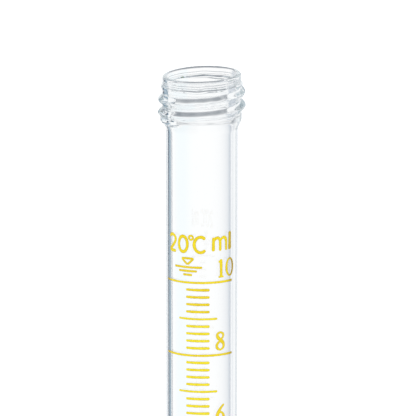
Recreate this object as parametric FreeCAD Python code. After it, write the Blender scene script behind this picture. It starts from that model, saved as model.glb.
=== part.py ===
import FreeCAD, Part
import math
import os

from FreeCAD import Vector

# A graduated glass test tube with a moulded screw neck and a round bottom.
# The glass is one piece; the scale and its lettering are separate fired enamel
# marks that lie on the outside of the glass.
# Millimetres and degrees. +Z runs up the tube's axis, the origin is the pole of
# the round bottom, and the scale faces -Y.

# ---------------------------------------------------------------- driving dimensions

# tube
tube_outer_diameter = 15.0
tube_wall = 1.1
bottom_thickness = 1.3
length_above_scale = 42.85  # from the top graduation to the rim

# screw neck
neck_root_diameter = 16.6
neck_wall = 1.2
lip_setback = 0.1  # the rim's outside lies this far inside the thread root
lip_bead_rise = 0.05  # the bead under the rim stands this far outside the thread root
lip_bead_height = 3.2
flare_height = 2.4  # where the neck narrows to the tube
flare_offset = 0.3  # the bore narrows this far lower than the outside does

# thread
thread_pitch = 2.82
thread_turns = 2.4
thread_height = 0.8
thread_base_width = 2.0
thread_top_below_rim = 2.5
thread_start_angle = 25.0
thread_fade_angle = 85.0
thread_anchor_depth = 0.4  # how deep the ridge is anchored in the wall
thread_foot_depth = 0.1  # how deep its rounded flanks run into the wall
thread_step_angle = 15.0
thread_facets = 8  # flats round the crest, an even number
thread_end_share = 0.12  # how much of the ridge is left where it runs out

# graduations, in millilitres
capacity_ml = 10
ring_interval_ml = 2
half_interval_ml = 1
fine_interval_ml = 0.2
lowest_mark_ml = 1

# printed lines, with lengths measured round the glass
enamel_thickness = 0.06
ring_length = 16.6
half_mark_length = 8.5
fine_mark_length = 5.1
ring_line_width = 0.36
fine_line_width = 0.44

# numerals
numeral_height = 3.95
numeral_width = 2.06
numeral_rise = 0.95  # from a ring's centre line to the foot of its numeral
numeral_offset = 4.85  # from the scale's centre line to the middle of one digit
two_digit_shift = 1.75
numeral_gap = 0.25
numeral_thick = 0.5
numeral_thin = 0.3

# legends and the liquid-level symbol
legend_height = 3.8
legend_rise = 6.2
legend_stroke = 0.5
temperature_left = -7.3
temperature_digit_width = 2.3
degree_size = 1.2
degree_stroke = 0.32
degree_gap = 0.15
degree_rise = 0.1  # how far the degree sign stands above the digits
celsius_width = 3.1
celsius_gap = 0.1
celsius_open_angle = 42.0
unit_left = 3.05
unit_small_height = 3.2
unit_small_width = 3.4
unit_gap = 0.6
symbol_left = -5.4
symbol_rise = 1.4
symbol_width = 6.4
symbol_height = 3.7
symbol_stroke = 0.42
symbol_line_step = 0.8
symbol_line_count = 3
symbol_line_shrink = 0.34  # each line is shorter than the top one by this share
symbol_tip_gap = 0.12
symbol_slope = 0.75  # half the triangle's width for each millimetre of its height

# ---------------------------------------------------------------- worked-out sizes

tube_radius = tube_outer_diameter / 2
bore_radius = tube_radius - tube_wall
bore_centre_z = bottom_thickness + bore_radius
root_radius = neck_root_diameter / 2
neck_bore_radius = root_radius - neck_wall
lip_radius = root_radius - lip_setback
neck_height = thread_top_below_rim + thread_turns * thread_pitch
enamel_radius = tube_radius + enamel_thickness
CUBIC_MM_PER_ML = 1000.0
print_depth = 1.0  # how far the cutters for the print reach past the glass surface


def height_of(volume_ml):
    """Height at which the tube, standing upright, holds this volume."""
    round_end = 2 / 3 * math.pi * bore_radius**3
    return bore_centre_z + (volume_ml * CUBIC_MM_PER_ML - round_end) / (math.pi * bore_radius**2)


overall_length = height_of(capacity_ml) + length_above_scale


# ---------------------------------------------------------------- outline helpers


def point(radius, height):
    """A point of the half outline, in the XZ plane."""
    return Vector(radius, 0, height)


def line(start, end):
    """A straight edge."""
    return Part.LineSegment(start, end).toShape()


def arc(start, through, end):
    """A circular edge through three points."""
    return Part.Arc(start, through, end).toShape()


def ease(bottom_radius, bottom_z, top_radius, top_z):
    """Two tangent arcs, upright at both ends, from one radius to another."""
    step = top_radius - bottom_radius
    rise = top_z - bottom_z
    if abs(step) < 1e-6:
        return [line(point(bottom_radius, bottom_z), point(top_radius, top_z))]
    radius = (rise**2 + step**2) / (4 * abs(step))
    half_turn = math.asin(abs(rise) / 2 / radius) / 2
    out = math.copysign(radius * (1 - math.cos(half_turn)), step)
    up = math.copysign(radius * math.sin(half_turn), rise)
    middle = point((bottom_radius + top_radius) / 2, (bottom_z + top_z) / 2)
    return [
        arc(point(bottom_radius, bottom_z), point(bottom_radius + out, bottom_z + up), middle),
        arc(middle, point(top_radius - out, top_z - up), point(top_radius, top_z)),
    ]


# ---------------------------------------------------------------- glass


def outside_edges():
    """The outside of the glass, from the pole up to the top of the lip bead."""
    slant = tube_radius * math.sqrt(0.5)
    pole = point(0, 0)
    shoulder = point(tube_radius, tube_radius)
    neck_foot = overall_length - neck_height
    flare_foot = neck_foot - flare_height
    bead_foot = overall_length - lip_bead_height
    rim_round = (lip_radius - neck_bore_radius) / 2
    bead_middle = point(root_radius + lip_bead_rise, overall_length - (lip_bead_height + rim_round) / 2)
    lip_side = point(lip_radius, overall_length - rim_round)
    return [
        arc(pole, point(slant, tube_radius - slant), shoulder),
        line(shoulder, point(tube_radius, flare_foot)),
        *ease(tube_radius, flare_foot, root_radius, neck_foot),
        line(point(root_radius, neck_foot), point(root_radius, bead_foot)),
        arc(point(root_radius, bead_foot), bead_middle, lip_side),
    ]


def rim_edge():
    """The rim, fire-polished to a full round."""
    rim_round = (lip_radius - neck_bore_radius) / 2
    middle = (lip_radius + neck_bore_radius) / 2
    foot = overall_length - rim_round
    return arc(point(lip_radius, foot), point(middle, overall_length), point(neck_bore_radius, foot))


def inside_edges():
    """The bore, from the rim down to the inner pole."""
    slant = bore_radius * math.sqrt(0.5)
    top = overall_length - (lip_radius - neck_bore_radius) / 2
    narrow_top = overall_length - neck_height - flare_offset
    narrow_foot = narrow_top - flare_height
    side = point(bore_radius, bore_centre_z)
    narrowing = ease(bore_radius, narrow_foot, neck_bore_radius, narrow_top)
    return [
        line(point(neck_bore_radius, top), point(neck_bore_radius, narrow_top)),
        *reversed(narrowing),
        line(point(bore_radius, narrow_foot), side),
        arc(side, point(slant, bore_centre_z - slant), point(0, bottom_thickness)),
    ]


def tube_blank():
    """The tube before its thread: the outline turned about the axis."""
    axis_edge = line(point(0, bottom_thickness), point(0, 0))
    edges = outside_edges() + [rim_edge()] + inside_edges() + [axis_edge]
    outline = Part.Face(Part.Wire(Part.__sortEdges__(edges)))
    return outline.revolve(Vector(0, 0, 0), Vector(0, 0, 1), 360)


def fade(angle):
    """Share of the full ridge at this angle from its start, up to 1."""
    run = thread_turns * 360
    share = min(angle, run - angle, thread_fade_angle) / thread_fade_angle
    return thread_end_share + (1 - thread_end_share) * math.sin(share * math.pi / 2) ** 2


def thread_section(angle):
    """The ridge's closed section at this angle from its start: a rounded crest on a square root."""
    share = fade(angle)
    half_width = thread_base_width / 2 * math.sqrt(share)
    centre_z = overall_length - neck_height + thread_pitch * angle / 360
    turn = math.radians(thread_start_angle + angle)
    anchor = root_radius - thread_anchor_depth
    foot = root_radius - thread_foot_depth
    rise = thread_height * share + thread_foot_depth

    def place(radius, across):
        z = centre_z + half_width * across
        return Vector(radius * math.cos(turn), radius * math.sin(turn), z)

    half = thread_facets // 2
    crest = [place(foot + rise * math.cos(i / half * math.pi / 2), i / half) for i in range(-half, half + 1)]
    return Part.makePolygon([place(anchor, -1)] + crest + [place(anchor, 1), place(anchor, -1)])


def thread_ridge():
    """The right-hand ridge that carries a screw cap, fading out at both ends."""
    count = math.ceil(thread_turns * 360 / thread_step_angle)
    sections = [thread_section(thread_turns * 360 * i / count) for i in range(count + 1)]
    return Part.makeLoft(sections, True, False)


def glass_tube():
    """Tube, neck, lip and thread, which are one piece of glass."""
    return tube_blank().fuse(thread_ridge()).removeSplitter()


# ---------------------------------------------------------------- enamel helpers


def enamel_skin(low_z, high_z):
    """The thin sleeve round the glass in which every mark at this height lies."""
    base = Vector(0, 0, low_z)
    outside = Part.makeCylinder(enamel_radius, high_z - low_z, base)
    inside = Part.makeCylinder(tube_radius, high_z - low_z, base)
    return outside.cut(inside)


def facing(offset):
    """Angle from +X, in degrees, of a place this far right of the scale's centre line."""
    return -90 + math.degrees(offset / tube_radius)


def arc_line(length, width, height):
    """A printed line that runs round the glass, centred on the scale, with round ends."""
    low, high = height - width / 2, height + width / 2
    corners = [
        point(tube_radius, low),
        point(enamel_radius, low),
        point(enamel_radius, high),
        point(tube_radius, high),
        point(tube_radius, low),
    ]
    straight = length - width
    section = Part.Face(Part.makePolygon(corners))
    section.rotate(Vector(0, 0, 0), Vector(0, 0, 1), facing(-straight / 2))
    axis = Vector(0, 0, 1)
    shape = section.revolve(Vector(0, 0, 0), axis, math.degrees(straight / tube_radius))
    skin = enamel_skin(low, high)
    ends = []
    for side in (-1, 1):
        turn = math.radians(facing(side * straight / 2))
        outward = Vector(math.cos(turn), math.sin(turn), 0)
        start = outward * (tube_radius - print_depth) + Vector(0, 0, height)
        ends.append(Part.makeCylinder(width / 2, 2 * print_depth, start, outward).common(skin))
    return shape.fuse(ends).removeSplitter()


def stroke(start, end, width):
    """A flat, straight pen stroke with round ends."""
    a, b = Vector(*start, 0), Vector(*end, 0)
    along = (b - a).normalize() * (width / 2)
    side = Vector(-along.y, along.x, 0)
    edges = [
        line(a + side, b + side),
        arc(b + side, b + along, b - side),
        line(b - side, a - side),
        arc(a - side, a - along, a + side),
    ]
    return Part.Face(Part.Wire(edges))


def pen(edges, width):
    """A flat pen stroke along joined edges that turn."""
    return Part.Wire(edges).makeOffset2D(width / 2, 0, True, False, False)


def oval(centre_x, centre_y, width, height):
    """A flat ellipse, or a disc where it is as wide as it is high."""
    long, short = max(width, height) / 2, min(width, height) / 2
    if long - short < 1e-6:
        curve = Part.Circle(Vector(0, 0, 0), Vector(0, 0, 1), long)
    else:
        curve = Part.Ellipse(Vector(0, 0, 0), long, short)
    face = Part.Face(Part.Wire(curve.toShape()))
    if height > width:
        face.rotate(Vector(0, 0, 0), Vector(0, 0, 1), 90)
    face.translate(Vector(centre_x, centre_y, 0))
    return face


def ring(centre_x, centre_y, width, height, side, cap):
    """A flat oval ring, side wide at its flanks and cap wide at its top and foot."""
    outer = oval(centre_x, centre_y, width, height)
    return outer.cut(oval(centre_x, centre_y, width - 2 * side, height - 2 * cap))


def on_glass(strokes, left, foot):
    """A glyph's flat strokes laid on the glass, with its lower left corner at this place."""
    low = min(flat.BoundBox.XMin for flat in strokes)
    high = max(flat.BoundBox.XMax for flat in strokes)
    top = max(flat.BoundBox.YMax for flat in strokes)
    middle = (low + high) / 2
    blocks = []
    for flat in strokes:
        flat = flat.copy()
        flat.translate(Vector(-middle, 0, 0))
        flat.rotate(Vector(0, 0, 0), Vector(1, 0, 0), 90)
        flat.translate(Vector(0, -tube_radius - print_depth, foot))
        block = flat.extrude(Vector(0, 2.5 * print_depth, 0))
        if block.Volume < 0:
            block.reverse()
        blocks.append(block)
    glyph = blocks[0].multiFuse(blocks[1:]) if len(blocks) > 1 else blocks[0]
    glyph = glyph.removeSplitter()
    glyph.rotate(Vector(0, 0, 0), Vector(0, 0, 1), math.degrees((left + middle) / tube_radius))
    return glyph.common(enamel_skin(foot - print_depth, foot + top + print_depth))


# ---------------------------------------------------------------- glyphs
# Each glyph is a list of flat strokes, drawn with its lower left corner at the origin.


def digit_zero(width, height, side, cap):
    """An upright oval."""
    return [ring(width / 2, height / 2, width, height, side, cap)]


def digit_one(width, height, thick, thin):
    """A stem with a foot serif and a short flag."""
    middle = width / 2
    stem = stroke((middle, thin / 2), (middle, height - thick / 2), thick)
    foot = stroke((thin, thin / 2), (width - thin, thin / 2), thin)
    flag = stroke((thin, height * 0.84), (middle, height - thick / 2), thin)
    return [stem, foot, flag]


def digit_two(width, height, thick, thin):
    """A hook, a slanting neck and a level foot."""
    edge = thick / 2
    bend = width / 2 - edge
    middle_y = height - edge - bend
    hook = arc(
        Vector(edge, middle_y, 0),
        Vector(width / 2, height - edge, 0),
        Vector(width - edge, middle_y, 0),
    )
    turn = arc(
        Vector(width - edge, middle_y, 0),
        Vector(width - edge * 1.7, height * 0.5, 0),
        Vector(width / 2, height * 0.31, 0),
    )
    slope = stroke((width / 2, height * 0.31), (edge, edge), (thick + thin) / 2)
    foot = stroke((edge, edge), (width - edge, edge), thick)
    return [pen([hook], thick), pen([turn], thick), slope, foot]


def digit_four(width, height, thick, thin):
    """An upright, a slope and a level bar."""
    stem_x = width * 0.68
    bar_y = height * 0.28
    stem = stroke((stem_x, thick / 2), (stem_x, height - thick / 2), thick)
    slope = stroke((thin / 2, bar_y), (stem_x, height - thin / 2), thin)
    bar = stroke((thin / 2, bar_y), (width - thin / 2, bar_y), thin)
    return [stem, slope, bar]


def digit_six(width, height, thick, thin):
    """A round bowl with a stroke that sweeps up and over to the right."""
    bowl_height = height * 0.58
    bowl = ring(width / 2, bowl_height / 2, width, bowl_height, thick, thin)
    sweep = arc(
        Vector(thick / 2, bowl_height / 2, 0),
        Vector(width * 0.3, height * 0.78, 0),
        Vector(width - thick, height - thick / 2, 0),
    )
    return [bowl, pen([sweep], thick)]


def digit_eight(width, height, thick, thin):
    """A large bowl with a smaller one on it."""
    low = height * 0.54
    high = height - low + thin
    large = ring(width / 2, low / 2, width, low, thick, thin)
    small = ring(width / 2, height - high / 2, width * 0.86, high, thick * 0.9, thin)
    return [large, small]


DIGITS = {
    "0": digit_zero,
    "1": digit_one,
    "2": digit_two,
    "4": digit_four,
    "6": digit_six,
    "8": digit_eight,
}


def letter_c(width, height, pen_width):
    """An oval that is open to the right, with round ends."""
    body = ring(width / 2, height / 2, width, height, pen_width, pen_width)
    centre = Vector(width / 2, height / 2, 0)
    open_angle = math.radians(celsius_open_angle)
    reach = Vector(width * math.cos(open_angle), height * math.sin(open_angle), 0)
    upper, lower = centre + reach, centre + Vector(reach.x, -reach.y, 0)
    gap = Part.Face(Part.makePolygon([centre, upper, lower, centre]))
    tip_x = (width - pen_width) / 2 * math.cos(open_angle)
    tip_y = (height - pen_width) / 2 * math.sin(open_angle)
    tips = [
        Part.Face(Part.Wire(Part.makeCircle(pen_width / 2, centre + Vector(tip_x, side * tip_y, 0))))
        for side in (-1, 1)
    ]
    return [body.cut(gap)] + tips


def letter_m(width, height, pen_width):
    """Three stems under two arches."""
    edge = pen_width / 2
    bend = (width - pen_width) / 4
    spring = height - edge - bend
    stem = stroke((edge, edge), (edge, height - edge), pen_width)
    arches = []
    for i in range(2):
        left = edge + 2 * bend * i
        right = left + 2 * bend
        over = arc(
            Vector(left, spring, 0), Vector(left + bend, height - edge, 0), Vector(right, spring, 0)
        )
        arches.append(pen([over, line(Vector(right, spring, 0), Vector(right, edge, 0))], pen_width))
    return [stem] + arches


def letter_l(height, pen_width):
    """One upright."""
    edge = pen_width / 2
    return [stroke((edge, edge), (edge, height - edge), pen_width)]


# ---------------------------------------------------------------- marks


def ring_mark(volume_ml):
    """The long line at an even volume."""
    return arc_line(ring_length, ring_line_width, height_of(volume_ml))


def half_mark(volume_ml):
    """The middle-length line half way between two rings."""
    return arc_line(half_mark_length, ring_line_width, height_of(volume_ml))


def fine_marks(start_ml):
    """The short lines between two whole volumes."""
    count = round(half_interval_ml / fine_interval_ml)
    volumes = [start_ml + fine_interval_ml * i for i in range(1, count)]
    lines = [arc_line(fine_mark_length, fine_line_width, height_of(v)) for v in volumes]
    return Part.makeCompound(lines)


def numeral(volume_ml):
    """The digits that stand on the right-hand part of a ring."""
    text = str(volume_ml)
    foot = height_of(volume_ml) + numeral_rise
    pitch = numeral_width + numeral_gap
    centre = numeral_offset + two_digit_shift * (len(text) - 1)
    first = centre - pitch * (len(text) - 1) / 2 - numeral_width / 2
    digits = []
    for i, name in enumerate(text):
        flat = DIGITS[name](numeral_width, numeral_height, numeral_thick, numeral_thin)
        left = first + pitch * i
        digits.append(on_glass(flat, left, foot))
    return Part.makeCompound(digits)


def temperature_legend():
    """The reference temperature, 20 degrees Celsius."""
    foot = height_of(capacity_ml) + legend_rise
    size = (temperature_digit_width, legend_height, legend_stroke, legend_stroke)
    half_sign = degree_size / 2
    sign = ring(half_sign, half_sign, degree_size, degree_size, degree_stroke, degree_stroke)
    letter = letter_c(celsius_width, legend_height, legend_stroke)
    zero_left = temperature_left + temperature_digit_width + numeral_gap
    sign_left = zero_left + temperature_digit_width + degree_gap
    sign_foot = foot + legend_height - degree_size + degree_rise
    return Part.makeCompound(
        [
            on_glass(digit_two(*size), temperature_left, foot),
            on_glass(digit_zero(*size), zero_left, foot),
            on_glass([sign], sign_left, sign_foot),
            on_glass(letter, sign_left + degree_size + celsius_gap, foot),
        ]
    )


def unit_legend():
    """The unit of the scale, ml."""
    foot = height_of(capacity_ml) + legend_rise
    small = letter_m(unit_small_width, unit_small_height, legend_stroke)
    tall = letter_l(legend_height, legend_stroke)
    tall_left = unit_left + unit_small_width + unit_gap
    return Part.makeCompound([on_glass(small, unit_left, foot), on_glass(tall, tall_left, foot)])


def level_symbol():
    """A triangle standing on its point over shrinking lines: read the level here."""
    foot = height_of(capacity_ml) + symbol_rise
    pen_width = symbol_stroke
    water_y = pen_width / 2 + (symbol_line_count - 1) * symbol_line_step
    middle = symbol_width / 2
    tip_y = water_y + pen_width + symbol_tip_gap
    half = (symbol_height - tip_y) * symbol_slope
    top_y = symbol_height - pen_width / 2
    corners = [(middle, tip_y), (middle + half, top_y), (middle - half, top_y)]
    sides = [stroke(a, b, pen_width) for a, b in zip(corners, corners[1:] + corners[:1])]
    shapes = [on_glass(sides, symbol_left, foot)]
    for i in range(symbol_line_count):
        half_run = middle * (1 - symbol_line_shrink * i) - pen_width / 2
        y = water_y - symbol_line_step * i
        run = stroke((middle - half_run, y), (middle + half_run, y), pen_width)
        shapes.append(on_glass([run], symbol_left, foot))
    return Part.makeCompound(shapes)


# ---------------------------------------------------------------- the whole tube


def nodes():
    """Every piece by its node name."""
    pieces = {"glass_tube": glass_tube()}
    for volume in range(ring_interval_ml, capacity_ml + 1, ring_interval_ml):
        pieces[f"ring_mark_{volume:02d}_ml"] = ring_mark(volume)
        pieces[f"numeral_{volume:02d}"] = numeral(volume)
    for volume in range(lowest_mark_ml, capacity_ml, ring_interval_ml):
        pieces[f"half_mark_{volume:02d}_ml"] = half_mark(volume)
    for volume in range(lowest_mark_ml, capacity_ml, half_interval_ml):
        pieces[f"fine_marks_{volume:02d}_to_{volume + 1:02d}_ml"] = fine_marks(volume)
    pieces["temperature_legend"] = temperature_legend()
    pieces["unit_legend"] = unit_legend()
    pieces["level_symbol"] = level_symbol()
    return pieces


def main():
    """Write one STEP file per node."""
    os.makedirs("parts", exist_ok=True)
    for name, shape in nodes().items():
        shape.exportStep(f"parts/{name}.step")
        print(f"{name}: {len(shape.Solids)} solids, {shape.Volume:.4f} mm3, valid {shape.isValid()}")
    print(f"overall length {overall_length:.3f} mm, top mark at {height_of(capacity_ml):.3f} mm")


main()
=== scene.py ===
"""Looks of a graduated, round-bottom glass test tube with a moulded screw neck.

The glass is one clear piece, and the scale is yellow enamel fired on its outside.
Sizes in this file are millimetres and degrees unless a name says otherwise. +Z runs
up the tube's axis, the scale faces -Y, and the origin is the pole of the bottom.
"""

import logging
import math
from dataclasses import dataclass, field
from enum import Enum

import bmesh
import bpy
from mathutils import Matrix, Vector, noise


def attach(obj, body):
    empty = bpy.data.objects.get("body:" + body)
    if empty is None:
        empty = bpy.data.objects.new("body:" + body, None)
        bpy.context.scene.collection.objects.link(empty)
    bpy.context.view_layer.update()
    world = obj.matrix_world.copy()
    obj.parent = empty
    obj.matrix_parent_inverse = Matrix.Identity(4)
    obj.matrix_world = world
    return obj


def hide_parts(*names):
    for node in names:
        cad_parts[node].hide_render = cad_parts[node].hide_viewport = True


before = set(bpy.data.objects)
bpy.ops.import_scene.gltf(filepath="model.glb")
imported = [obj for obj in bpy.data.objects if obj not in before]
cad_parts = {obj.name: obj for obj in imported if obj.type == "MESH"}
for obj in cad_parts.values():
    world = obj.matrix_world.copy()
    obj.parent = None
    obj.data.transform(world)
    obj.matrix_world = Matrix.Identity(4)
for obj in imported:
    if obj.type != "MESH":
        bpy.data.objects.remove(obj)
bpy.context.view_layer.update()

logging.basicConfig(level=logging.INFO, format="%(message)s")
log = logging.getLogger("test_tube")

MM = 0.001


# ---------------------------------------------------------------- small helpers


def ramp(low: float, high: float, value: float) -> float:
    """Rise evenly from 0 at low to 1 at high."""
    return min(max((value - low) / (high - low), 0.0), 1.0)


def smooth_step(low: float, high: float, value: float) -> float:
    """Ease from 0 at low to 1 at high."""
    share = ramp(low, high, value)
    return share * share * (3 - 2 * share)


def roughly(place: Vector, scale: tuple[float, float]) -> float:
    """Noise at a place on the glass; scale is in cycles per metre round it and up it."""
    across, up = scale
    return noise.noise(Vector((place.x * across, place.y * across, place.z * up)))


def spread(start: float, end: float, count: int) -> list[float]:
    """Evenly spaced values, both ends included."""
    return [start + (end - start) * i / (count - 1) for i in range(count)]


def catmull(points: list[tuple], spacing: float, closed: bool = False) -> list[tuple]:
    """Run a smooth curve through points.

    Args:
        points: control points, each a tuple of any length.
        spacing: rough distance between samples, in the points' units.
        closed: whether the curve joins its own start.

    Returns:
        Samples along the curve.
    """
    last = len(points) if closed else len(points) - 1
    samples = []
    for i in range(last):
        if closed:
            p = [points[(i + k) % len(points)] for k in (-1, 0, 1, 2)]
        else:
            p = [points[min(max(i + k, 0), len(points) - 1)] for k in (-1, 0, 1, 2)]
        chord = math.dist(p[1][:2], p[2][:2])
        steps = max(1, math.ceil(chord / spacing))
        for j in range(steps):
            t = j / steps
            weights = (
                -0.5 * t + t * t - 0.5 * t**3,
                1 - 2.5 * t * t + 1.5 * t**3,
                0.5 * t + 2 * t * t - 1.5 * t**3,
                -0.5 * t * t + 0.5 * t**3,
            )
            samples.append(
                tuple(sum(w * q[k] for w, q in zip(weights, p)) for k in range(len(p[1])))
            )
    samples.append(samples[0] if closed else points[-1])
    return samples


# ---------------------------------------------------------------- materials


class Graph:
    """A node tree with short ways to add and join nodes."""

    def __init__(self, tree: bpy.types.NodeTree) -> None:
        """Empty the tree, so that it holds only what is added here."""
        self.tree = tree
        tree.nodes.clear()

    def add(self, kind: str, **settings) -> bpy.types.Node:
        """Add a node and set its properties."""
        node = self.tree.nodes.new(kind)
        for name, value in settings.items():
            setattr(node, name, value)
        return node

    def join(self, source, target) -> None:
        """Link an output socket to an input socket."""
        self.tree.links.new(source, target)

    def math(self, operation: str, a, b=None) -> bpy.types.NodeSocket:
        """A math node's result; a and b are sockets or numbers."""
        node = self.add("ShaderNodeMath", operation=operation)
        for i, value in enumerate((a, b)):
            if value is None:
                continue
            if isinstance(value, (int, float)):
                node.inputs[i].default_value = value
            else:
                self.join(value, node.inputs[i])
        return node.outputs[0]

    def ease(self, value, low: float, high: float) -> bpy.types.NodeSocket:
        """A smooth step of a socket from 0 at low to 1 at high."""
        node = self.add("ShaderNodeMapRange", interpolation_type="SMOOTHSTEP", clamp=True)
        self.join(value, node.inputs["Value"])
        node.inputs["From Min"].default_value = low
        node.inputs["From Max"].default_value = high
        return node.outputs["Result"]

    def mix(self, share, a, b) -> bpy.types.NodeSocket:
        """Blend two colours, each a socket or a tuple, by share."""
        node = self.add("ShaderNodeMix", data_type="RGBA")
        for socket, value in zip((node.inputs[0], node.inputs[6], node.inputs[7]), (share, a, b)):
            if isinstance(value, bpy.types.NodeSocket):
                self.join(value, socket)
            elif isinstance(value, tuple):
                socket.default_value = (*value, 1.0)
            else:
                socket.default_value = value
        return node.outputs[2]

    def noise(self, scale: tuple[float, float, float], detail: float) -> bpy.types.NodeSocket:
        """Noise laid on the object, stretched by scale, in cycles per metre."""
        place = self.add("ShaderNodeTexCoord")
        stretch = self.add("ShaderNodeMapping")
        stretch.inputs["Scale"].default_value = scale
        texture = self.add("ShaderNodeTexNoise")
        texture.inputs["Scale"].default_value = 1.0
        texture.inputs["Detail"].default_value = detail
        self.join(place.outputs["Object"], stretch.inputs["Vector"])
        self.join(stretch.outputs["Vector"], texture.inputs["Vector"])
        return texture.outputs["Fac"]


def new_material(name: str) -> tuple[bpy.types.Material, Graph, bpy.types.Node, bpy.types.Node]:
    """Make a material that holds one shader joined to its output.

    Args:
        name: name of the material.

    Returns:
        The material, its graph, the shader and the output node.
    """
    material = bpy.data.materials.new(name)
    material.use_nodes = True
    graph = Graph(material.node_tree)
    shader = graph.add("ShaderNodeBsdfPrincipled")
    output = graph.add("ShaderNodeOutputMaterial")
    graph.join(shader.outputs["BSDF"], output.inputs["Surface"])
    return material, graph, shader, output


@dataclass(frozen=True)
class ClearGlass:
    """Borosilicate glass, faintly blue where the light runs a long way through it."""

    refraction: float = 1.473
    transmitted: tuple[float, float, float] = (0.52, 0.83, 0.95)
    density: float = 16.0
    waviness: float = 0.02
    wave_depth: float = 0.05
    streaks_across: float = 260.0
    streaks_along: float = 9.0

    def material(self) -> bpy.types.Material:
        """Build the glass: clear body, long draw streaks, slight tint in its depth."""
        material, graph, shader, output = new_material("clear_glass_drawn")
        shader.inputs["Base Color"].default_value = (1.0, 1.0, 1.0, 1.0)
        shader.inputs["Roughness"].default_value = 0.0
        shader.inputs["IOR"].default_value = self.refraction
        shader.inputs["Transmission Weight"].default_value = 1.0
        streaks = graph.noise((self.streaks_across, self.streaks_across, self.streaks_along), 1.0)
        bump = graph.add("ShaderNodeBump")
        bump.inputs["Strength"].default_value = self.waviness
        bump.inputs["Distance"].default_value = self.wave_depth * MM
        graph.join(streaks, bump.inputs["Height"])
        graph.join(bump.outputs["Normal"], shader.inputs["Normal"])
        depth = graph.add("ShaderNodeVolumeAbsorption")
        depth.inputs["Color"].default_value = (*self.transmitted, 1.0)
        depth.inputs["Density"].default_value = self.density
        graph.join(depth.outputs["Volume"], output.inputs["Volume"])
        return material


@dataclass(frozen=True)
class FiredEnamel:
    """Screen-printed enamel after firing: satin and uneven, with painted shade that browns it
    towards the tube's left and right limbs.
    """

    name: str
    full: tuple[float, float, float]
    thin: tuple[float, float, float]
    # painted limb shade: the brown the print is mixed to towards the sides, and the distances from
    # the centre line where it starts and is full
    limb_shade: tuple[float, float, float] = (0.4, 0.26, 0.0)
    limb_shade_from: float = 5.5
    limb_shade_to: float = 6.9
    roughness: float = 0.38
    refraction: float = 1.35
    patch_scale: float = 900.0
    patch_edge: tuple[float, float] = (0.35, 0.65)
    grain_scale: float = 6000.0
    grain_strength: float = 0.15
    grain_depth: float = 0.02

    def material(self) -> bpy.types.Material:
        """Build the enamel: two depths of yellow, painted shade browning the sides, a fine grain.
        """
        material, graph, shader, _ = new_material(self.name)
        patches = graph.noise((self.patch_scale,) * 3, 2.0)
        cover = graph.ease(patches, *self.patch_edge)
        tone = graph.mix(cover, self.thin, self.full)
        place = graph.add("ShaderNodeTexCoord")
        parts = graph.add("ShaderNodeSeparateXYZ")
        graph.join(place.outputs["Object"], parts.inputs["Vector"])
        # painted shade: the tone is mixed towards brown as the print runs round to the tube's
        # limbs, darkening it there as shade would
        aside = graph.math("ABSOLUTE", parts.outputs["X"])
        side = graph.ease(aside, self.limb_shade_from * MM, self.limb_shade_to * MM)
        graph.join(graph.mix(side, tone, self.limb_shade), shader.inputs["Base Color"])
        shader.inputs["Roughness"].default_value = self.roughness
        shader.inputs["IOR"].default_value = self.refraction
        grain = graph.noise((self.grain_scale,) * 3, 2.0)
        bump = graph.add("ShaderNodeBump")
        bump.inputs["Strength"].default_value = self.grain_strength
        bump.inputs["Distance"].default_value = self.grain_depth * MM
        graph.join(grain, bump.inputs["Height"])
        graph.join(bump.outputs["Normal"], shader.inputs["Normal"])
        return material


class Enamel(Enum):
    """The tones the print takes from one patch to the next."""

    DEEP = FiredEnamel("yellow_enamel_deep", (0.8, 0.61, 0.004), (0.85, 0.68, 0.008))
    FULL = FiredEnamel("yellow_enamel_full", (0.77, 0.58, 0.006), (0.83, 0.65, 0.015))
    LIGHT = FiredEnamel("yellow_enamel_light", (0.82, 0.67, 0.008), (0.87, 0.74, 0.02))


# ---------------------------------------------------------------- glass


@dataclass(frozen=True)
class TubeSize:
    """The glass, measured along and round its axis."""

    radius: float = 7.5
    bore: float = 6.4
    bottom: float = 1.3
    length: float = 123.996
    neck_root: float = 8.3
    neck_bore: float = 7.1
    lip: float = 8.2
    bead_rise: float = 0.19
    bead_height: float = 3.2
    bead_flank: tuple[float, float] = (1.69, 2.13)
    bead_crest: float = 2.3
    lip_steps: tuple[float, ...] = (1.0, 1.45)
    step_run: float = 0.4
    step_gap: float = 0.04
    step_half: float = 0.045
    step_depth: float = 0.12
    flare_height: float = 2.4
    neck_height: float = 9.268
    bore_flare_rise: float = 1.0
    bore_flare_height: float = 3.0


@dataclass(frozen=True)
class ThreadSize:
    """The right-hand ridge on the neck."""

    pitch: float = 2.82
    turns: float = 2.4
    height: float = 0.8
    half_width: float = 1.2
    start_angle: float = 25.0
    fade_angle: float = 85.0
    top_fade_angle: float = 200.0
    fade_width: float = 0.6
    top_below_rim: float = 1.2
    crest_power: float = 1.3
    blob_angle: float = 214.0
    blob_spread: float = 27.0
    blob_below_rim: float = 9.25
    blob_height: float = 0.6
    blob_reach: float = 0.95


@dataclass(frozen=True)
class Unevenness:
    """How far hand-finished glass strays from its outline in the neck."""

    ripple: float = 0.024
    ripple_scale: tuple[float, float] = (260.0, 900.0)
    pitting: float = 0.014
    pitting_scale: tuple[float, float] = (800.0, 1300.0)
    flutes: float = 0.09
    flute_scale: tuple[float, float] = (500.0, 150.0)
    dents: float = 0.16
    dent_scale: tuple[float, float] = (500.0, 400.0)
    pinch: float = 0.6
    pinch_at: float = 1.9
    pinch_reach: float = 0.3
    sway: float = 0.16
    sway_scale: float = 420.0
    sway_seed: float = 7.0
    back_drop: float = 0.2
    window_top: tuple[float, float] = (0.5, 1.1)
    window_foot: tuple[float, float] = (2.3, 2.95)
    lip_depth: float = 3.0
    facing: float = 0.8
    rim_tilt: float = 0.28
    tilt_from: float = 2.0
    rim_nod: float = 0.4
    nod_between: tuple[float, float] = (-1.0, 3.0)


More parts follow.
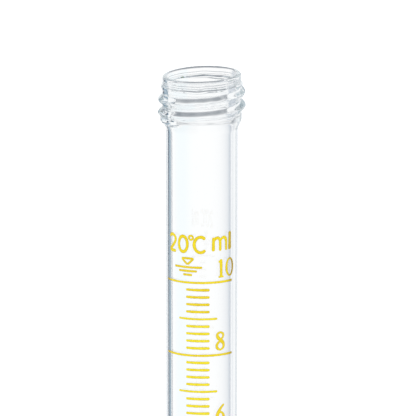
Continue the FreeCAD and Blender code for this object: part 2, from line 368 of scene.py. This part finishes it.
@dataclass
class TubeGlass:
    """Round bottom, straight wall, flare, threaded neck and fire-polished lip."""

    size: TubeSize = field(default_factory=TubeSize)
    thread: ThreadSize = field(default_factory=ThreadSize)
    uneven: Unevenness = field(default_factory=Unevenness)
    finish: ClearGlass = field(default_factory=ClearGlass)
    steps: int = 288
    row: float = 0.1
    bead_density: float = 3.2
    wall_rows: int = 13
    dome_rows: int = 33
    rim_rows: int = 19
    neck_bore_rows: int = 12
    bore_dome_rows: int = 29
    outer_from: float = 1.12

    def flare(self, low: float, high: float, foot: float, top: float) -> list[tuple]:
        """Points of an S-shaped widening from one radius to another."""
        count = round((top - foot) / self.row)
        return [
            (low + (high - low) * smooth_step(foot, top, z), z) for z in spread(foot, top, count)
        ]

    def outside(self) -> list[tuple]:
        """The outer outline, from the pole to the rim's outer side."""
        s = self.size
        neck_foot = s.length - s.neck_height
        flare_foot = neck_foot - s.flare_height
        bead_foot = s.length - s.bead_height
        rim_round = (s.lip - s.neck_bore) / 2
        lip_foot = s.length - rim_round
        dome = [
            (s.radius * math.cos(a), s.radius + s.radius * math.sin(a))
            for a in spread(-math.pi / 2, 0, self.dome_rows)
        ]
        wall = [(s.radius, z) for z in spread(s.radius, flare_foot, self.wall_rows)][1:-1]
        neck = [
            (s.neck_root, z)
            for z in spread(neck_foot, bead_foot, round((bead_foot - neck_foot) / self.row))
        ][1:]
        rows = round((lip_foot - bead_foot) / self.row * self.bead_density)
        bead = [(self.bead(s.length - z), z) for z in spread(bead_foot, lip_foot, rows)][1:]
        return dome + wall + self.flare(s.radius, s.neck_root, flare_foot, neck_foot) + neck + bead

    def bead(self, below: float) -> float:
        """The radius of the lip and of the bead under it, this far below the rim."""
        s = self.size
        radius = s.lip
        for step in s.lip_steps:
            fall = smooth_step(step - s.step_run, step - s.step_gap, below)
            radius -= s.step_depth * (fall - ramp(step - s.step_half, step + s.step_half, below))
        radius += (s.neck_root + s.bead_rise - s.lip) * ramp(*s.bead_flank, below)
        return radius - s.bead_rise * smooth_step(s.bead_crest, s.bead_height, below)

    def rim(self) -> list[tuple]:
        """The full-round rim, from its outer to its inner side."""
        s = self.size
        rim_round = (s.lip - s.neck_bore) / 2
        middle = (s.lip + s.neck_bore) / 2
        foot = s.length - rim_round
        return [
            (middle + rim_round * math.cos(a), foot + rim_round * math.sin(a))
            for a in spread(0, math.pi, self.rim_rows)
        ][1:]

    def inside(self) -> list[tuple]:
        """The bore, from the rim down to the inner pole."""
        s = self.size
        top = s.length - (s.lip - s.neck_bore) / 2
        flare_top = s.length - s.neck_height + s.bore_flare_rise
        flare_foot = flare_top - s.bore_flare_height
        centre = s.bottom + s.bore
        neck = [(s.neck_bore, z) for z in spread(top, flare_top, self.neck_bore_rows)][1:-1]
        narrow = self.flare(s.bore, s.neck_bore, flare_foot, flare_top)[::-1]
        wall = [(s.bore, z) for z in spread(flare_foot, centre, self.wall_rows)][1:-1]
        dome = [
            (s.bore * math.cos(a), centre - s.bore * math.sin(a))
            for a in spread(0, math.pi / 2, self.bore_dome_rows)
        ]
        return neck + narrow + wall + dome

    def ridge(self, angle: float, z: float) -> float:
        """How far the thread stands out of the neck at this place."""
        t = self.thread
        foot = self.size.length - self.size.neck_height
        run = t.turns * 360
        out = 0.0
        along = (angle - t.start_angle) % 360
        while along < run:
            share = smooth_step(0, t.fade_angle, along)
            share *= smooth_step(0, t.top_fade_angle, run - along)
            centre = foot + t.pitch * along / 360
            reach = t.half_width * (t.fade_width + (1 - t.fade_width) * share)
            across = abs(z - centre) / reach
            if across < 1:
                shape = math.cos(across * math.pi / 2) ** t.crest_power
                out = max(out, t.height * share * shape)
            along += 360
        off = (angle - t.blob_angle + 180) % 360 - 180
        drop = (z - (self.size.length - t.blob_below_rim)) / t.blob_reach
        blob = t.blob_height * math.exp(-((off / t.blob_spread) ** 4) - drop**4)
        return (out**3 + blob**3) ** (1 / 3)

    def threaded(self, place: Vector, outward: Vector) -> Vector:
        """A place on the outside of the neck, moved out by the thread."""
        out = self.ridge(math.degrees(math.atan2(place.y, place.x)), place.z / MM)
        dent = roughly(place, self.uneven.dent_scale)
        return place + outward.normalized() * out * (1 + self.uneven.dents * dent) * MM

    def rippled(self, place: Vector, outward: Vector, in_bore: bool) -> Vector:
        """A place in the neck, moved in or out by the unevenness of the glass."""
        u = self.uneven
        depth = u.ripple * roughly(place, u.ripple_scale)
        depth += u.pitting * roughly(place, u.pitting_scale)
        if in_bore:
            depth += u.flutes * roughly(place, u.flute_scale)
        return place + outward.normalized() * depth * MM

    def swayed(self, place: Vector, round_radius: float) -> float:
        """How far the lip's edges wander up or down here, in metres."""
        u = self.uneven
        below = self.size.length - place.z / MM
        if below >= u.lip_depth:
            return 0.0
        front = smooth_step(0, u.facing, -place.y / round_radius)
        back = smooth_step(0, u.facing, place.y / round_radius)
        off = below - u.pinch_at
        pinch = u.pinch * front * off * math.exp(-((off / u.pinch_reach) ** 2))
        window = smooth_step(*u.window_top, below) * (1 - smooth_step(*u.window_foot, below))
        spot = Vector((place.x * u.sway_scale, place.y * u.sway_scale, u.sway_seed))
        return (pinch + (u.sway * noise.noise(spot) - u.back_drop * back) * window) * MM

    def tipped(self, place: Vector) -> float:
        """How far the tip of the rim lifts or lowers this place, in metres."""
        s, u = self.size, self.uneven
        foot = s.length - s.neck_height
        nod_low, nod_high = u.nod_between
        lift = smooth_step(foot + u.tilt_from, s.length, place.z / MM)
        nod = smooth_step(foot + nod_low, foot + nod_high, place.z / MM)
        return (u.rim_tilt * lift * place.x + u.rim_nod * nod * place.y) / s.lip

    def build(self) -> bpy.types.Object:
        """Spin the outline, then raise the thread on it and tip the rim."""
        s = self.size
        bm = bmesh.new()
        outline = self.outside() + self.rim() + self.inside()
        verts = [bm.verts.new((r * MM, 0, z * MM)) for r, z in outline]
        edges = [bm.edges.new(pair) for pair in zip(verts, verts[1:])]
        bmesh.ops.spin(
            bm,
            geom=verts + edges,
            cent=(0, 0, 0),
            axis=(0, 0, 1),
            dvec=(0, 0, 0),
            angle=math.tau,
            steps=self.steps,
            use_merge=True,
        )
        bmesh.ops.remove_doubles(bm, verts=bm.verts, dist=1e-7)
        neck_foot = s.length - s.neck_height
        thread_foot = (neck_foot - s.flare_height) * MM
        thread_top = (s.length - self.thread.top_below_rim) * MM
        mid_wall = (s.neck_root + s.neck_bore) / 2 * MM
        mid_flare = s.bore * MM * self.outer_from
        for v in bm.verts:
            flat = Vector((v.co.x, v.co.y, 0))
            outer = flat.length > mid_wall or v.co.z < neck_foot * MM
            if thread_foot < v.co.z < thread_top and flat.length > mid_flare and outer:
                v.co = self.threaded(v.co, flat)
            if v.co.z > neck_foot * MM:
                v.co = self.rippled(v.co, flat, flat.length < mid_wall)
            if flat.length > mid_wall:
                v.co.z += self.swayed(v.co, flat.length)
            v.co.z += self.tipped(v.co)
        bmesh.ops.recalc_face_normals(bm, faces=bm.faces)
        return as_object(bm, "tube_glass")

    def dress(self, piece: bpy.types.Object) -> None:
        """Give the glass its material and its place in the frame."""
        piece.data.materials.append(self.finish.material())
        settle(piece, "glass_tube")


def as_object(bm: bmesh.types.BMesh, name: str) -> bpy.types.Object:
    """Turn a bmesh into a smooth-shaded object in the scene."""
    mesh = bpy.data.meshes.new(name)
    bm.to_mesh(mesh)
    bm.free()
    for polygon in mesh.polygons:
        polygon.use_smooth = True
    piece = bpy.data.objects.new(name, mesh)
    bpy.context.scene.collection.objects.link(piece)
    log.info("%s: %d faces", name, len(mesh.polygons))
    return piece


def settle(piece: bpy.types.Object, node: str) -> None:
    """Tie a piece to the frame in place of its CAD node."""
    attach(piece, "root")
    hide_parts(node)


# ---------------------------------------------------------------- print


@dataclass(frozen=True)
class Pen:
    """One stroke: points of (across, up, width), run through by a smooth curve."""

    points: tuple[tuple[float, float, float], ...]
    closed: bool = False
    straight: bool = False

    def moved(self, across: float, up: float) -> "Pen":
        """The same stroke in another place."""
        points = tuple((x + across, y + up, w) for x, y, w in self.points)
        return Pen(points, self.closed, self.straight)


@dataclass
class PrintedPatch:
    """One patch of enamel: strokes laid on the glass, crowned by the firing."""

    name: str
    node: str
    pens: list[Pen]
    finish: Enamel
    radius: float = 7.5
    thickness: float = 0.05
    sunk: float = 0.01
    spacing: float = 0.11
    lanes: int = 6
    unevenness: float = 0.07
    wobble_scale: float = 1.3
    edge_scale: float = 4.0
    edge_share: float = 0.25
    least_tip: float = 0.02
    full_crown_from: float = 0.12
    spread: float = 1.25

    def path(self, pen: Pen) -> list[tuple]:
        """Samples of (across, up, width) along a stroke."""
        if pen.straight:
            (x0, y0, w0), (x1, y1, w1) = pen.points
            count = max(4, math.ceil(math.dist((x0, y0), (x1, y1)) / self.spacing))
            return [
                (x0 + (x1 - x0) * t, y0 + (y1 - y0) * t, w0 + (w1 - w0) * t)
                for t in spread(0, 1, count)
            ]
        return catmull(list(pen.points), self.spacing, pen.closed)

    def lay(self, bm: bmesh.types.BMesh, pen: Pen, seed: float) -> None:
        """Lay one stroke on the glass.

        Args:
            bm: mesh that takes the stroke.
            pen: the stroke.
            seed: makes each stroke's unevenness its own.
        """
        path = self.path(pen)
        travelled = [0.0]
        for a, b in zip(path, path[1:]):
            travelled.append(travelled[-1] + math.dist(a[:2], b[:2]))
        count = len(path)
        made = bmesh.ops.create_grid(
            bm, x_segments=count - 1, y_segments=self.lanes, size=0.5
        )["verts"]
        for v in made:
            i = round((v.co.x + 0.5) * (count - 1))
            lane = -v.co.y * 2
            before, here, after = path[max(i - 1, 0)], path[i], path[min(i + 1, count - 1)]
            if pen.closed and i in (0, count - 1):
                before, after = path[-2], path[1]
            along = Vector((after[0] - before[0], after[1] - before[1])).normalized()
            half = here[2] / 2 * self.spread
            wobble = noise.noise(Vector((travelled[i] * self.wobble_scale, seed * 7.1, 0.4)))
            half *= 1 + self.unevenness * 2 * wobble
            if not pen.closed:
                tip = min(travelled[i], travelled[-1] - travelled[i])
                if tip < half:
                    half *= math.sqrt(max(1 - (1 - tip / half) ** 2, self.least_tip))
            spot = Vector((travelled[i] * self.edge_scale, lane * 0.8, seed * 3.3))
            fray = self.edge_share * self.unevenness * noise.noise(spot)
            side = half * (lane + fray * lane)
            x = here[0] + along.y * side
            y = here[1] - along.x * side
            crown = math.sqrt(max(1 - lane * lane, 0))
            crown *= min(1, half / self.full_crown_from)
            rise = (self.thickness + self.sunk) * crown - self.sunk
            turn = x / self.radius - math.pi / 2
            reach = self.radius + rise
            v.co = Vector((reach * math.cos(turn), reach * math.sin(turn), y)) * MM
        faces = {f for v in made for f in v.link_faces}
        under = bmesh.ops.duplicate(bm, geom=list(faces))["geom"]
        backs = [g for g in under if isinstance(g, bmesh.types.BMFace)]
        bmesh.ops.reverse_faces(bm, faces=backs)
        floor = (self.radius - self.sunk) * MM
        for v in {v for f in backs for v in f.verts}:
            flat = Vector((v.co.x, v.co.y, 0)).normalized() * floor
            v.co.x, v.co.y = flat.x, flat.y

    def build(self) -> bpy.types.Object:
        """Lay all the strokes and weld each one shut."""
        bm = bmesh.new()
        for i, pen in enumerate(self.pens):
            part = bmesh.new()
            self.lay(part, pen, i + len(self.name) + self.pens[0].points[0][1])
            bmesh.ops.remove_doubles(part, verts=part.verts, dist=1e-6)
            bmesh.ops.recalc_face_normals(part, faces=part.faces)
            stroke = bpy.data.meshes.new("stroke")
            part.to_mesh(stroke)
            part.free()
            bm.from_mesh(stroke)
            bpy.data.meshes.remove(stroke)
        return as_object(bm, self.name)

    def dress(self, piece: bpy.types.Object) -> None:
        """Give the patch its enamel and its place in the frame."""
        piece.data.materials.append(self.finish.value.material())
        settle(piece, self.node)


@dataclass(frozen=True)
class ScaleSize:
    """Where the graduations stand and how long they are, round the glass."""

    bore: float = 6.4
    bore_centre: float = 7.7
    capacity: int = 10
    ring_half: float = 8.3
    half_half: float = 4.25
    fine_half: float = 2.55
    ring_width: float = 0.48
    half_width: float = 0.46
    fine_width: float = 0.56

    def height(self, volume: float) -> float:
        """Height at which the upright tube holds this volume, in millilitres."""
        round_end = 2 / 3 * math.pi * self.bore**3
        return self.bore_centre + (volume * 1000 - round_end) / (math.pi * self.bore**2)


def level(half: float, up: float, width: float, sag: float = 0.0) -> Pen:
    """A level line centred on the scale, its left end lifted a little by sag."""
    return Pen(((-half, up + sag, width * 0.92), (half, up, width * 1.04)), straight=True)


@dataclass
class Graduations:
    """The rings, half marks and fine marks."""

    size: ScaleSize = field(default_factory=ScaleSize)

    def tone(self, volume: float) -> Enamel:
        """The covering is heavier near the top of the scale."""
        return Enamel.FULL if volume > 8.9 else Enamel.LIGHT

    def patches(self) -> list[PrintedPatch]:
        """One patch for each mark or group of marks."""
        s = self.size
        made = []
        for volume in range(2, s.capacity + 1, 2):
            pen = level(s.ring_half, s.height(volume), s.ring_width)
            made.append(
                PrintedPatch(
                    f"ring_{volume:02d}",
                    f"ring_mark_{volume:02d}_ml",
                    [pen],
                    Enamel.DEEP,
                    spread=1.0,
                )
            )
        for volume in range(1, s.capacity, 2):
            pen = level(s.half_half, s.height(volume), s.half_width, 0.06)
            made.append(
                PrintedPatch(
                    f"half_{volume:02d}",
                    f"half_mark_{volume:02d}_ml",
                    [pen],
                    Enamel.LIGHT,
                    spread=1.0,
                )
            )
        for volume in range(1, s.capacity):
            pens = [
                level(s.fine_half, s.height(volume + 0.2 * i), s.fine_width, 0.04)
                for i in range(1, 5)
            ]
            node = f"fine_marks_{volume:02d}_to_{volume + 1:02d}_ml"
            tone = self.tone(volume)
            made.append(PrintedPatch(f"fine_{volume:02d}", node, pens, tone, spread=1.0))
        return made


def oval(cx: float, cy: float, rx: float, ry: float, side: float, cap: float) -> Pen:
    """A closed oval stroke, side wide at its flanks and cap wide at top and foot."""
    points = []
    for i in range(12):
        a = math.tau * i / 12
        width = cap + (side - cap) * math.cos(a) ** 2
        points.append((cx + rx * math.cos(a), cy + ry * math.sin(a), width))
    return Pen(tuple(points), closed=True)


class Digit(Enum):
    """Numerals with thick and thin strokes; each has its foot at 0 and is centred."""

    ZERO = (oval(0, 1.98, 0.98, 1.8, 0.46, 0.28),)
    ONE = (
        Pen(((0.08, 0.1, 0.48), (0.06, 3.9, 0.46)), straight=True),
        Pen(((-0.62, 0.14, 0.26), (0.74, 0.14, 0.28)), straight=True),
        Pen(((-0.58, 3.28, 0.28), (-0.2, 3.46, 0.34), (0.1, 3.82, 0.3))),
    )
    TWO = (
        Pen(
            (
                (-0.76, 2.96, 0.5),
                (-0.5, 3.6, 0.34),
                (0.1, 3.8, 0.3),
                (0.74, 3.34, 0.46),
                (0.76, 2.6, 0.54),
                (0.2, 1.6, 0.4),
                (-0.4, 0.82, 0.3),
                (-0.84, 0.24, 0.26),
            )
        ),
        Pen(((-0.86, 0.26, 0.42), (0.0, 0.24, 0.48), (0.66, 0.26, 0.4), (0.96, 0.74, 0.24))),
    )
    FOUR = (
        Pen(((0.36, 0.1, 0.48), (0.36, 3.86, 0.46)), straight=True),
        Pen(((-0.98, 1.16, 0.26), (0.34, 3.8, 0.3)), straight=True),
        Pen(((-1.0, 1.1, 0.28), (1.0, 1.1, 0.28)), straight=True),
        Pen(((-0.1, 0.14, 0.26), (0.84, 0.14, 0.26)), straight=True),
    )
    SIX = (
        Pen(
            (
                (0.96, 3.9, 0.26),
                (0.44, 3.5, 0.36),
                (-0.24, 2.66, 0.46),
                (-0.74, 1.6, 0.52),
                (-0.7, 0.72, 0.48),
                (0.02, 0.14, 0.28),
                (0.72, 0.72, 0.46),
                (0.74, 1.66, 0.44),
                (0.12, 2.26, 0.28),
                (-0.56, 1.9, 0.28),
            )
        ),
    )
    EIGHT = (
        Pen(
            (
                (0.0, 3.84, 0.3),
                (-0.68, 3.5, 0.4),
                (-0.62, 2.86, 0.5),
                (0.0, 2.2, 0.52),
                (0.72, 1.5, 0.48),
                (0.76, 0.66, 0.42),
                (0.0, 0.14, 0.3),
                (-0.78, 0.6, 0.42),
                (-0.74, 1.36, 0.4),
                (0.0, 2.14, 0.3),
                (0.62, 2.82, 0.32),
                (0.66, 3.44, 0.38),
            ),
            closed=True,
        ),
    )


@dataclass
class Numerals:
    """The numbers that stand on the right-hand part of the rings."""

    scale: ScaleSize = field(default_factory=ScaleSize)
    rise: float = 0.95
    middle: float = 4.95

    def patches(self) -> list[PrintedPatch]:
        """One patch for each number."""
        rows = {
            2: [(Digit.TWO, self.middle)],
            4: [(Digit.FOUR, self.middle)],
            6: [(Digit.SIX, self.middle)],
            8: [(Digit.EIGHT, self.middle)],
            10: [(Digit.ONE, 5.06), (Digit.ZERO, 7.52)],
        }
        made = []
        for volume, digits in rows.items():
            foot = self.scale.height(volume) + self.rise
            pens = [p.moved(across, foot) for digit, across in digits for p in digit.value]
            tone = Enamel.DEEP if volume == 10 else Enamel.FULL
            node = f"numeral_{volume:02d}"
            made.append(PrintedPatch(f"number_{volume:02d}", node, pens, tone, spread=1.45))
        return made


@dataclass
class Legends:
    """Above the top ring: the reference temperature, the unit and the level symbol."""

    scale: ScaleSize = field(default_factory=ScaleSize)
    rise: float = 6.2
    pen: float = 0.52

    def temperature(self, foot: float) -> list[Pen]:
        """The strokes of 20 degrees Celsius."""
        w = self.pen
        two = (
            Pen(
                (
                    (-7.02, 3.0, w * 0.9),
                    (-6.7, 3.46, w),
                    (-6.1, 3.62, w),
                    (-5.36, 3.2, w),
                    (-5.24, 2.46, w),
                    (-5.74, 1.62, w),
                    (-6.4, 0.9, w),
                    (-6.98, 0.3, w),
                )
            ),
            Pen(((-7.0, 0.3, w), (-5.05, 0.2, w)), straight=True),
        )
        zero = oval(-3.24, 1.9, 1.02, 1.64, w, w)
        sign = oval(-1.42, 3.34, 0.44, 0.44, 0.34, 0.34)
        arc = []
        for a in spread(44, 318, 11):
            turn = math.radians(a)
            arc.append((0.62 + 1.36 * math.cos(turn), 1.88 + 1.64 * math.sin(turn), w))
        return [p.moved(0, foot) for p in (*two, zero, sign, Pen(tuple(arc)))]

    def unit(self, foot: float) -> list[Pen]:
        """The strokes of ml."""
        w = self.pen
        pens = [Pen(((3.32, 0.2, w), (3.36, 3.2, w)), straight=True)]
        for left in (3.4, 4.94):
            right = left + 1.5
            pens.append(
                Pen(
                    (
                        (left, 2.3, w * 0.8),
                        (left + 0.36, 2.86, w * 0.9),
                        (left + 0.9, 3.02, w),
                        (right - 0.12, 2.66, w),
                        (right, 1.9, w),
                        (right, 0.9, w),
                        (right + 0.02, 0.2, w),
                    )
                )
            )
        pens.append(Pen(((7.5, 0.2, w * 1.4), (7.54, 4.1, w * 1.4)), straight=True))
        return [p.moved(0, foot + 0.2) for p in pens]

    def symbol(self, foot: float) -> list[Pen]:
        """A triangle on its point over three shrinking lines."""
        w = 0.42
        tip, left, right = (-2.2, 2.42), (-3.55, 3.75), (-0.85, 3.75)
        pens = [
            Pen(((*a, w), (*b, w)), straight=True)
            for a, b in ((tip, left), (left, right), (right, tip))
        ]
        for i, half in enumerate((3.2, 2.1, 1.05)):
            up = 1.85 - 0.8 * i
            pens.append(Pen(((-2.2 - half, up + 0.04, w), (-2.2 + half, up, w)), straight=True))
        return [p.moved(0, foot + 1.38) for p in pens]

    def patches(self) -> list[PrintedPatch]:
        """One patch for each legend."""
        ring = self.scale.height(self.scale.capacity)
        foot = ring + self.rise
        return [
            PrintedPatch(
                "temperature", "temperature_legend", self.temperature(foot), Enamel.DEEP
            ),
            PrintedPatch("unit", "unit_legend", self.unit(foot), Enamel.DEEP),
            PrintedPatch(
                "level_sign", "level_symbol", self.symbol(ring), Enamel.FULL, spread=1.1
            ),
        ]


# ---------------------------------------------------------------- studio


@dataclass(frozen=True)
class SoftCard:
    """A soft-edged patch of the surroundings, by direction from the tube.

    Turn is degrees right of straight back, lift is degrees above the horizon. Each
    edge is a pair: where the patch begins to show and where it is full.
    """

    tint: tuple[float, float, float]
    left: tuple[float, float]
    right: tuple[float, float]
    low: tuple[float, float]
    high: tuple[float, float]
    strength: float = 1.0


@dataclass
class Studio:
    """White surroundings, a pale floor and a few soft grey cards.

    Light that keeps reflecting inside the glass takes the colour of the
    surroundings after trapped_after reflections.
    """

    facing: float = 6.5
    white: float = 1.01
    sun: float = 1.5
    sun_width: float = 80.0
    floor_side: float = 12.0
    floor_tones: tuple[float, float] = (0.93, 0.96)
    floor_mottle: float = 3.0
    floor_roughness: float = 0.8
    bounces: int = 24
    trapped_after: int = 7
    trapped_reach: float = 0.4
    trapped_share: float = 0.62
    cards: tuple[SoftCard, ...] = (
        SoftCard((0.25, 0.36, 0.45), (-50, -44), (-33, -29), (-20, -16), (50, 65)),
        SoftCard((0.0, 0.02, 0.06), (-36, -32), (-26.5, -23), (-20, -16), (50, 65)),
        SoftCard((0.93, 0.98, 1.0), (-16, -8), (-5, -1), (-20, -16), (50, 65)),
        SoftCard((0.5, 0.55, 0.62), (1, 21), (21, 26), (-20, -16), (50, 65), 0.85),
        SoftCard((0.6, 0.64, 0.7), (38, 43), (50, 58), (-20, -16), (50, 65), 0.4),
        SoftCard((0.08, 0.11, 0.15), (-36, -30), (40, 75), (-95, -91), (-36, -14), 0.82),
        SoftCard((0.1, 0.12, 0.15), (-170, -150), (-66, -60), (-95, -91), (-38, -14), 0.5),
        SoftCard((0.3, 0.33, 0.38), (-181, -180), (180, 181), (24, 40), (60, 80), 0.5),
    )

    def surroundings(self) -> None:
        """Paint the world white with its soft cards."""
        world = bpy.data.worlds.new("studio")
        world.use_nodes = True
        bpy.context.scene.world = world
        graph = Graph(world.node_tree)
        place = graph.add("ShaderNodeTexCoord")
        turned = graph.add("ShaderNodeVectorRotate", rotation_type="Z_AXIS")
        turned.inputs["Angle"].default_value = -math.radians(self.facing)
        graph.join(place.outputs["Generated"], turned.inputs["Vector"])
        parts = graph.add("ShaderNodeSeparateXYZ")
        graph.join(turned.outputs["Vector"], parts.inputs["Vector"])
        x, y, z = parts.outputs
        turn = graph.math("DEGREES", graph.math("ARCTAN2", x, y))
        lift = graph.math("DEGREES", graph.math("ARCSINE", z))
        colour = (1.0, 1.0, 1.0)
        for card in self.cards:
            edges = [
                graph.ease(turn, *card.left),
                graph.math("SUBTRACT", 1, graph.ease(turn, *card.right)),
                graph.ease(lift, *card.low),
                graph.math("SUBTRACT", 1, graph.ease(lift, *card.high)),
            ]
            mask = edges[0]
            for edge in edges[1:]:
                mask = graph.math("MULTIPLY", mask, edge)
            mask = graph.math("MULTIPLY", mask, card.strength)
            colour = graph.mix(mask, colour, card.tint)
        background = graph.add("ShaderNodeBackground")
        graph.join(colour, background.inputs["Color"])
        background.inputs["Strength"].default_value = self.white
        output = graph.add("ShaderNodeOutputWorld")
        graph.join(background.outputs["Background"], output.inputs["Surface"])

    def floor(self) -> None:
        """Lay the pale floor under the tube."""
        bm = bmesh.new()
        bmesh.ops.create_grid(bm, x_segments=8, y_segments=8, size=self.floor_side / 2)
        piece = as_object(bm, "floor")
        material, graph, shader, _ = new_material("pale_floor")
        mottle = graph.noise((self.floor_mottle,) * 3, 2.0)
        low, high = self.floor_tones
        pale = graph.mix(mottle, (low,) * 3, (high,) * 3)
        graph.join(pale, shader.inputs["Base Color"])
        shader.inputs["Roughness"].default_value = self.floor_roughness
        shader.inputs["Specular IOR Level"].default_value = 0.0
        piece.data.materials.append(material)
        piece.visible_transmission = False
        piece.visible_glossy = False

    def lamp(self) -> None:
        """Hang a wide soft lamp straight over the tube."""
        data = bpy.data.lights.new("soft_lamp", "SUN")
        data.energy = self.sun
        data.angle = math.radians(self.sun_width)
        piece = bpy.data.objects.new("soft_lamp", data)
        piece.visible_glossy = False
        piece.visible_transmission = False
        bpy.context.scene.collection.objects.link(piece)

    def build(self) -> None:
        """Set up the surroundings, the lamp and the floor."""
        self.surroundings()
        self.lamp()
        self.floor()
        scene = bpy.context.scene
        scene.view_settings.view_transform = "Standard"
        scene.cycles.max_bounces = self.bounces
        scene.cycles.transmission_bounces = self.bounces
        scene.cycles.glossy_bounces = self.bounces
        scene.cycles.use_fast_gi = True
        scene.cycles.fast_gi_method = "REPLACE"
        scene.cycles.ao_bounces_render = self.trapped_after
        scene.world.light_settings.distance = self.trapped_reach * MM
        scene.world.light_settings.ao_factor = self.trapped_share
        log.info("studio: %d soft cards", len(self.cards))


@dataclass(frozen=True)
class Viewpoint:
    """A long lens, a little above the tube and to its right."""

    turn: float = 6.5
    rise: float = 11.4
    distance: float = 950.0
    field: float = 86.9
    aim_height: float = 95.55
    aim_right: float = 1.31
    sensor: float = 36.0
    nearest: float = 10.0
    farthest: float = 50000.0

    def build(self) -> None:
        """Place the camera and aim it."""
        a, e = math.radians(self.turn), math.radians(self.rise)
        back = Vector((math.sin(a) * math.cos(e), -math.cos(a) * math.cos(e), math.sin(e)))
        right = Vector((math.cos(a), math.sin(a), 0))
        aim = Vector((0, 0, self.aim_height)) + right * self.aim_right
        data = bpy.data.cameras.new("camera")
        data.sensor_width = self.sensor
        data.lens = self.sensor * self.distance / self.field
        data.clip_start = self.nearest * MM
        data.clip_end = self.farthest * MM
        camera = bpy.data.objects.new("camera", data)
        turned = (-back).to_track_quat("-Z", "Y").to_matrix().to_4x4()
        camera.matrix_world = Matrix.Translation((aim + back * self.distance) * MM) @ turned
        bpy.context.scene.collection.objects.link(camera)
        bpy.context.scene.camera = camera
        log.info("camera: %.0f mm lens", data.lens)


# ---------------------------------------------------------------- the whole scene


def main() -> None:
    """Build the tube, its print, the studio and the camera."""
    glass = TubeGlass()
    glass.dress(glass.build())
    for group in (Graduations(), Numerals(), Legends()):
        for patch in group.patches():
            patch.dress(patch.build())
    Studio().build()
    Viewpoint().build()


if __name__ == "__main__":
    main()
